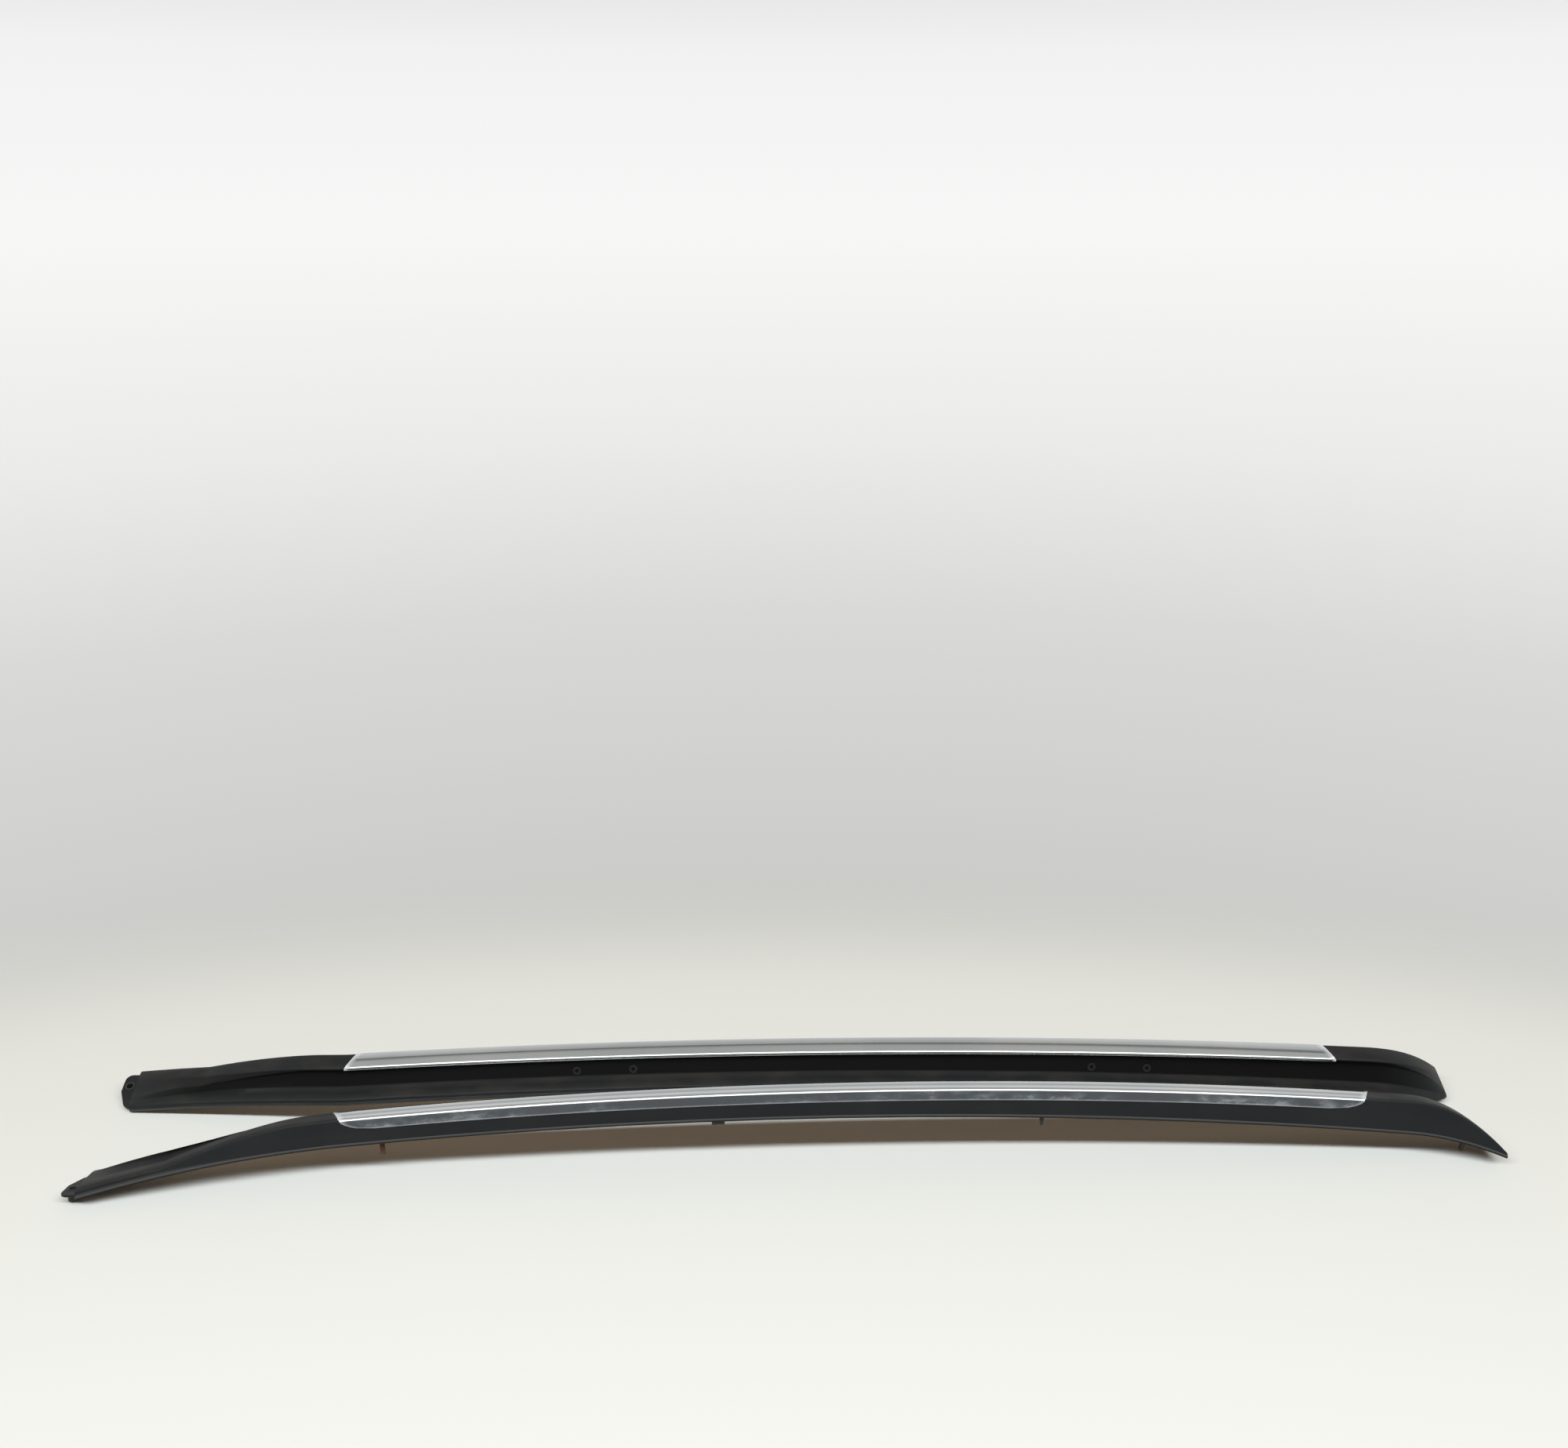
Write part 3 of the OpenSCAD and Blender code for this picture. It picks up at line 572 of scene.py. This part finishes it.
def bright_strip(side, material):
    """Sheet strip over the crest: an inner and an outer skin joined along a rim, whose edge is marked for a
    painted highlight.
    """
    inner = strip_chain()
    count = len(inner)
    points, faces = strip_points(inner), strip_faces(count)
    sheet = mesh_piece(f"{side}_strip_sheet", points, faces, side, material, sharp=50)
    one_skin = [float(i == 0 or k in (0, STRIP_STEPS)) for k in range(STRIP_STEPS + 1) for i in range(count)]
    paint_points(sheet, "edge", one_skin * 2)
    return sheet


def stud_thread(mount, material):
    """The M6 thread of a stud, one helical ridge round the shank that the record's mount describes."""
    at, axis = Vector(mount["pos_m"]), Vector(mount["axis"])
    radius, length = mount["dims"]["r_mm"] / 1000, mount["dims"]["length_mm"] / 1000
    turn = axis.to_track_quat("Z", "Y")
    section = ((-THREAD_HALF, -THREAD_ROOT), (0, THREAD_CREST), (THREAD_HALF, -THREAD_ROOT))
    count = int((length / THREAD_PITCH - 1.5) * THREAD_STEPS)
    start = -(count / THREAD_STEPS) * THREAD_PITCH / 2
    verts = []
    for k in range(count + 1):
        a = 2 * math.pi * k / THREAD_STEPS
        along = start + THREAD_PITCH * k / THREAD_STEPS
        for shift, out in section:
            r = radius + out
            verts.append(at + turn @ Vector((r * math.cos(a), r * math.sin(a), along + shift)))
    faces = [(3 * k + j, 3 * k + (j + 1) % 3, 3 * k + 3 + (j + 1) % 3, 3 * k + 3 + j)
             for k in range(count) for j in range(3)]
    faces += [(2, 1, 0), (3 * count, 3 * count + 1, 3 * count + 2)]
    faces = [f[::-1] for f in faces]
    name = mount["name"].replace("shank", "thread")
    mesh = bpy.data.meshes.new(name)
    mesh.from_pydata(verts, [], faces)
    mesh.validate()
    mesh.materials.append(material)
    ridge = bpy.data.objects.new(name, mesh)
    bpy.context.collection.objects.link(ridge)
    return ridge


def threads(mats):
    for mount in frame["record"]["mounts"]:
        if not mount["name"].endswith("stud_shank"):
            continue
        slot = SLOT_OF[mount["name"].removesuffix("_shank")]
        ridge = stud_thread(mount, mats[slot])
        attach(ridge, "root")


def rail(side, mats):
    pieces = (
        (rail_skin, "rail_body", "body_plastic"),
        (front_tab, "rail_body", "body_plastic"),
        (bright_strip, "bright_strip", "bright_trim"),
    )
    for build, node, slot in pieces:
        piece = build(side, mats[slot])
        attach(piece, "root")
        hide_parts(f"{side}_{node}")


def materials():
    mats = {"body_plastic": body_plastic(), "bright_trim": bright_trim(), "stud_rusty": rusty_steel()}
    mats.update({name: plain(name, *finish) for name, finish in PLAIN_FINISHES.items()})
    return mats


def dress_nodes(mats):
    for name, obj in frame["nodes"].items():
        obj.data.materials.clear()
        obj.data.materials.append(mats[SLOT_OF[name]])


def floor_paint():
    """Pale paint that fades out, away from the object, so that the room's own tone takes over."""
    mat, shader = principled("floor_paint", FLOOR_COLOUR, 0.7, specular=0.2)
    nodes, links = mat.node_tree.nodes, mat.node_tree.links
    where = nodes.new("ShaderNodeTexCoord")
    space = nodes.new("ShaderNodeMapping")
    space.vector_type = "TEXTURE"
    space.inputs["Location"].default_value = (0, FLOOR_MIDDLE_Y, 0)
    space.inputs["Scale"].default_value = (*FLOOR_REACH, 1)
    length = nodes.new("ShaderNodeVectorMath")
    length.operation = "LENGTH"
    fade = nodes.new("ShaderNodeMapRange")
    fade.interpolation_type = "SMOOTHSTEP"
    fade.inputs["From Min"].default_value = 1.0
    fade.inputs["From Max"].default_value = FLOOR_FADE
    clear = nodes.new("ShaderNodeBsdfTransparent")
    mixed = nodes.new("ShaderNodeMixShader")
    links.new(where.outputs["Object"], space.inputs["Vector"])
    links.new(space.outputs["Vector"], length.inputs[0])
    links.new(length.outputs["Value"], fade.inputs["Value"])
    links.new(fade.outputs["Result"], mixed.inputs["Fac"])
    links.new(shader.outputs[0], mixed.inputs[1])
    links.new(clear.outputs[0], mixed.inputs[2])
    links.new(mixed.outputs[0], nodes["Material Output"].inputs["Surface"])
    return mat


def panel(name, mat, corners):
    mesh = bpy.data.meshes.new(name)
    mesh.from_pydata(corners, [], [(0, 1, 2, 3)])
    mesh.materials.append(mat)
    obj = bpy.data.objects.new(name, mesh)
    bpy.context.collection.objects.link(obj)
    return obj


def gloss_card(name, tone, x, low, high):
    """A long glowing card that neither the camera nor matt surfaces see, and that casts no shadow."""
    mat = bpy.data.materials.new(name)
    mat.use_nodes = True
    glow = mat.node_tree.nodes.new("ShaderNodeEmission")
    glow.inputs["Color"].default_value = (*tone, 1)
    mat.node_tree.links.new(glow.outputs[0], mat.node_tree.nodes["Material Output"].inputs["Surface"])
    card = panel(name, mat, [(-x, *low), (x, *low), (x, *high), (-x, *high)])
    card.visible_camera = False
    card.visible_diffuse = False
    card.visible_shadow = False


def stage():
    corners = [(x * FLOOR_HALF, y * FLOOR_HALF, 0) for x, y in ((-1, -1), (1, -1), (1, 1), (-1, 1))]
    panel("floor", floor_paint(), corners)
    for name, card in GLOSS_CARDS.items():
        gloss_card(name, *card)


def area_light(name, at, aim, size, power, colour):
    data = bpy.data.lights.new(name, "AREA")
    data.shape = "RECTANGLE"
    data.size, data.size_y = size
    data.energy = power
    data.color = colour
    obj = bpy.data.objects.new(name, data)
    obj.location = at
    obj.rotation_euler = (Vector(aim) - Vector(at)).to_track_quat("-Z", "Y").to_euler()
    bpy.context.collection.objects.link(obj)
    return obj


def room_tones(nodes, links):
    """Tone of the room by how high one looks: pale walls, lighter near eye height, a duller ceiling."""
    where = nodes.new("ShaderNodeTexCoord")
    split = nodes.new("ShaderNodeSeparateXYZ")
    scale = nodes.new("ShaderNodeMapRange")
    scale.inputs["From Min"].default_value = -1.0
    tones = nodes.new("ShaderNodeValToRGB")
    links.new(where.outputs["Generated"], split.inputs["Vector"])
    links.new(split.outputs["Z"], scale.inputs["Value"])
    links.new(scale.outputs["Result"], tones.inputs["Fac"])
    elements = tones.color_ramp.elements
    elements[0].position, elements[0].color = height_stop(*ROOM_TONES[0])
    elements[1].position, elements[1].color = height_stop(*ROOM_TONES[-1])
    for stop in ROOM_TONES[1:-1]:
        place, colour = height_stop(*stop)
        elements.new(place).color = colour
    return tones.outputs["Color"]


def height_stop(degrees, tone):
    return (math.sin(math.radians(degrees)) + 1) / 2, (*tone, 1)


def light():
    lamp = area_light("ceiling_lamp", LAMP_AT, (0, 0, 0), LAMP_SIZE, LAMP_POWER, LAMP_COLOUR)
    lamp.visible_glossy = False
    world = bpy.data.worlds.new("room")
    bpy.context.scene.world = world
    world.use_nodes = True
    nodes, links = world.node_tree.nodes, world.node_tree.links
    path = nodes.new("ShaderNodeLightPath")
    fill = nodes["Background"]
    fill.inputs["Color"].default_value = (*FILL_COLOUR, 1)
    fill.inputs["Strength"].default_value = 1.0
    shown = nodes.new("ShaderNodeBackground")
    links.new(room_tones(nodes, links), shown.inputs["Color"])
    shown.inputs["Strength"].default_value = 1.0
    seen = path.outputs["Is Camera Ray"]
    for kind in ("Is Glossy Ray", "Is Transmission Ray"):
        either = nodes.new("ShaderNodeMath")
        either.operation = "MAXIMUM"
        links.new(seen, either.inputs[0])
        links.new(path.outputs[kind], either.inputs[1])
        seen = either.outputs[0]
    mixed = nodes.new("ShaderNodeMixShader")
    links.new(seen, mixed.inputs["Fac"])
    links.new(fill.outputs[0], mixed.inputs[1])
    links.new(shown.outputs[0], mixed.inputs[2])
    links.new(mixed.outputs[0], nodes["World Output"].inputs["Surface"])


def camera():
    data = bpy.data.cameras.new("camera")
    data.sensor_fit = "HORIZONTAL"
    data.sensor_width = SENSOR_W
    data.lens = SENSOR_W * FOCAL_PX / IMAGE_W
    data.clip_end = CLIP_END
    obj = bpy.data.objects.new("camera", data)
    obj.location = CAMERA_AT
    obj.rotation_euler = (math.radians(90 - CAMERA_PITCH), 0, 0)
    bpy.context.collection.objects.link(obj)
    bpy.context.scene.camera = obj


mats = materials()
dress_nodes(mats)
for side in ("left", "right"):
    rail(side, mats)
threads(mats)
stage()
light()
camera()
bpy.context.scene.view_settings.view_transform = "Standard"
